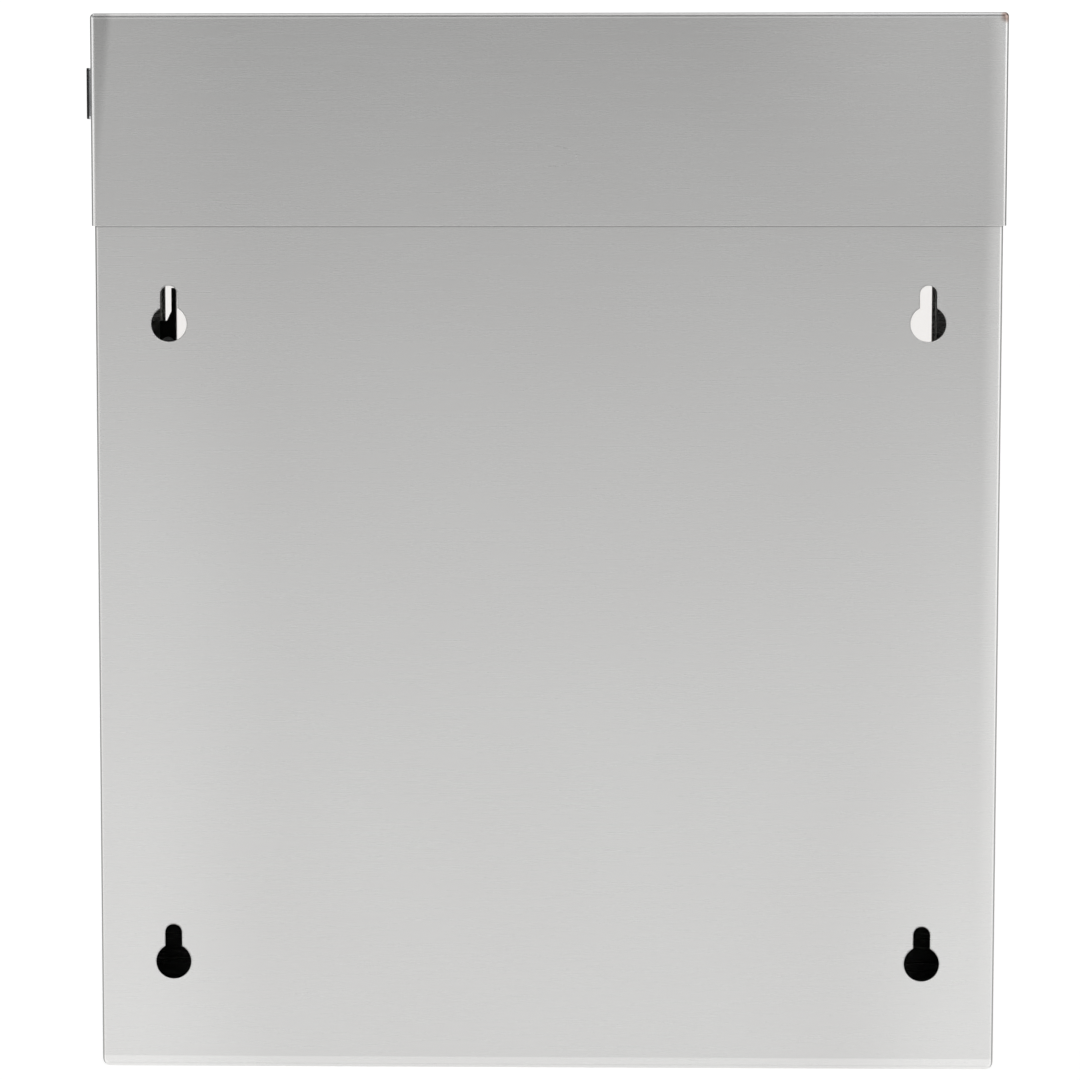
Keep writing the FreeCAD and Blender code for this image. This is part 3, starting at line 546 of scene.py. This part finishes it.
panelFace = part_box("front_panel")[0].y
slotMesh = bmesh.new()
sweepLip(slotMesh, slotOutline(slotLip, boxLow.z + slotLip["low"], boxLow.z + slotLip["high"]), (0, 0),
         panelFace + slotLip["inset"], slotLip, -1)
addMesh("slot_lip", slotMesh, boxSteel, "mailbox")

# A fine round bead along the hood's lower edge, which catches the light.
hoodEdge = {"radius": 0.16 * mm, "corner": 1.5 * mm, "cornerSteps": 8, "ringSteps": 8}


def roundedPath(low, high, corner, steps):
    points = []
    for turn, (x, y) in enumerate(((high.x, high.y), (low.x, high.y), (low.x, low.y), (high.x, low.y))):
        centre = (x - math.copysign(corner, x), y - corner if y == high.y else y + corner)
        for i in range(steps + 1):
            angle = math.radians(90 * turn + 90 * i / steps)
            points.append(Vector((centre[0] + corner * math.cos(angle),
                                  centre[1] + corner * math.sin(angle), 0)))
    return points


def sweepEdge(bm, path, level, size):
    rings = []
    count = len(path)
    for i in range(count):
        run = (path[(i + 1) % count] - path[i - 1]).normalized()
        side = Vector((-run.y, run.x, 0))
        ring = []
        for j in range(size["ringSteps"]):
            turn = 2 * math.pi * j / size["ringSteps"]
            spot = path[i] + side * size["radius"] * math.cos(turn)
            ring.append(bm.verts.new((spot.x, spot.y, level + size["radius"] * math.sin(turn))))
        rings.append(ring)
    for i in range(count):
        for j in range(size["ringSteps"]):
            k = (j + 1) % size["ringSteps"]
            following = rings[(i + 1) % count]
            bm.faces.new((rings[i][j], rings[i][k], following[k], following[j]))


edgeMesh = bmesh.new()
inset = Vector((hoodEdge["radius"], hoodEdge["radius"], 0))
sweepEdge(edgeMesh, roundedPath(lidLow + inset, lidHigh - inset, hoodEdge["corner"], hoodEdge["cornerSteps"]),
          lidLow.z, hoodEdge)
addMesh("hood_edge", edgeMesh, hoodSteel, "lid")

flapLow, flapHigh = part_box("flap_panel")
sawnMesh = bmesh.new()
for side in (-1, 1):
    outer = side * (flapHigh.x + sawnEdge["proud"])
    inner = side * (flapHigh.x - sawnEdge["wide"])
    blank = bmesh.ops.create_cube(sawnMesh, size=1.0)["verts"]
    for v in blank:
        v.co.x = outer if v.co.x > 0 else inner
        v.co.y = flapHigh.y + sawnEdge["overFaces"] if v.co.y > 0 else flapLow.y - sawnEdge["overFaces"]
        v.co.z = flapHigh.z - sawnEdge["shortEnds"] if v.co.z > 0 else flapLow.z + sawnEdge["shortEnds"]
bmesh.ops.bevel(sawnMesh, geom=sawnMesh.edges[:], offset=sawnEdge["bevel"], segments=2, affect="EDGES")
addMesh("flap_sawn_edges", sawnMesh, sawnAcrylic("sawn acrylic edge", sawnEdge), "flap")
print("close detail made")


camera = {"lens": 130.87, "sensor": 36.0, "from": (0.0, 1400 * mm, 175.0 * mm),
          "down": 5.582, "turn": 1.318, "roll": 0.04, "sideways": 0.0766, "clipFrom": 0.01}


def placeCamera(setup):
    data = bpy.data.cameras.new("camera")
    data.lens = setup["lens"]
    data.sensor_width = setup["sensor"]
    data.clip_start = setup["clipFrom"]
    data.shift_x = setup["sideways"]
    eye = bpy.data.objects.new("camera", data)
    eye.location = setup["from"]
    eye.rotation_euler = [math.radians(a) for a in (90 - setup["down"], setup["roll"], 180 + setup["turn"])]
    scene.collection.objects.link(eye)
    scene.camera = eye


# Broad soft panels round the box. Each fades out from its own direction.
room = {
    "horizon": 0.25, "zenith": 0.16, "zenithFrom": 0.35, "below": 0.95, "belowFrom": -0.12,
    "panels": [
        {"towards": (-0.85, 0.50, 0.0), "full": 0.96, "gone": 0.78, "strength": 0.70},
        {"towards": (0.88, 0.45, 0.0), "full": 0.96, "gone": 0.82, "strength": 0.65},
        {"towards": (0.0, 0.10, 1.0), "full": 0.93, "gone": 0.75, "strength": 0.60},
        {"towards": (-0.15, -1.0, 0.0), "full": 0.95, "gone": 0.75, "strength": 0.55},
    ],
    "backdrop": 1.06,
}


def buildRoom(setup):
    world = bpy.data.worlds.new("soft studio")
    scene.world = world
    world.use_nodes = True
    tree = world.node_tree
    tree.nodes.clear()
    way = addNode(tree, "ShaderNodeTexCoord").outputs["Generated"]
    height = addNode(tree, "ShaderNodeSeparateXYZ", {"Vector": way}).outputs["Z"]
    sky = addNode(tree, "ShaderNodeMapRange",
                  {"Value": height, "From Min": 0.0, "From Max": setup["zenithFrom"],
                   "To Min": setup["horizon"], "To Max": setup["zenith"]}, interpolation_type="SMOOTHSTEP")
    ground = addNode(tree, "ShaderNodeMapRange",
                     {"Value": height, "From Min": setup["belowFrom"], "From Max": 0.0,
                      "To Min": setup["below"] - setup["horizon"], "To Max": 0.0},
                     interpolation_type="SMOOTHSTEP")
    total = addNode(tree, "ShaderNodeMath", {0: sky.outputs[0], 1: ground.outputs[0]},
                    operation="ADD").outputs[0]
    for panel in setup["panels"]:
        aim = Vector(panel["towards"]).normalized()
        facing = addNode(tree, "ShaderNodeVectorMath", {0: way, 1: aim}, operation="DOT_PRODUCT")
        glow = addNode(tree, "ShaderNodeMapRange",
                       {"Value": facing.outputs["Value"],
                        "From Min": panel["gone"], "From Max": panel["full"],
                        "To Min": 0.0, "To Max": panel["strength"]}, interpolation_type="SMOOTHSTEP")
        total = addNode(tree, "ShaderNodeMath", {0: total, 1: glow.outputs[0]}, operation="ADD").outputs[0]
    lit = addNode(tree, "ShaderNodeBackground", {"Color": (1, 1, 1, 1), "Strength": total})
    plain = addNode(tree, "ShaderNodeBackground", {"Color": (1, 1, 1, 1), "Strength": setup["backdrop"]})
    seen = addNode(tree, "ShaderNodeLightPath").outputs["Is Camera Ray"]
    shown = addNode(tree, "ShaderNodeMixShader", {0: seen, 1: lit.outputs[0], 2: plain.outputs[0]})
    addNode(tree, "ShaderNodeOutputWorld", {"Surface": shown.outputs[0]})


studioLights = [
    {"name": "key", "at": (-1.3, 1.7, 1.5), "size": 1.2, "power": 3.5},
    {"name": "fill", "at": (1.5, -1.6, 1.3), "size": 1.3, "power": 3.5},
]


def placeLight(setup, target):
    data = bpy.data.lights.new(setup["name"], "AREA")
    data.size = setup["size"]
    data.energy = setup["power"]
    lamp = bpy.data.objects.new(setup["name"], data)
    lamp.location = setup["at"]
    lamp.rotation_euler = (target - Vector(setup["at"])).to_track_quat("-Z", "Y").to_euler()
    scene.collection.objects.link(lamp)


# The floor gives off light of its own, so that it stays nearly as pale as the backdrop.
floorLook = {"colour": "#b4b4b3", "radius": 9.0, "sides": 96, "drop": 0.4 * mm,
             "lift": 0.82, "roughness": 0.7}


def layFloor(setup):
    bm = bmesh.new()
    bmesh.ops.create_circle(bm, cap_ends=True, radius=setup["radius"], segments=setup["sides"])
    mesh = bpy.data.meshes.new("floor")
    bm.to_mesh(mesh)
    bm.free()
    material, tree, shader = newMaterial("pale studio floor")
    shader.inputs["Base Color"].default_value = hexToLinear(setup["colour"])
    shader.inputs["Roughness"].default_value = setup["roughness"]
    shader.inputs["Emission Color"].default_value = (1, 1, 1, 1)
    shader.inputs["Emission Strength"].default_value = setup["lift"]
    mesh.materials.append(material)
    floor = bpy.data.objects.new("floor", mesh)
    floor.location = (0, 0, cadLow.z - setup["drop"])
    scene.collection.objects.link(floor)


placeCamera(camera)
buildRoom(room)
for lightSetup in studioLights:
    placeLight(lightSetup, (cadLow + cadHigh) / 2)
layFloor(floorLook)
scene.view_settings.view_transform = "Standard"
print("studio made")
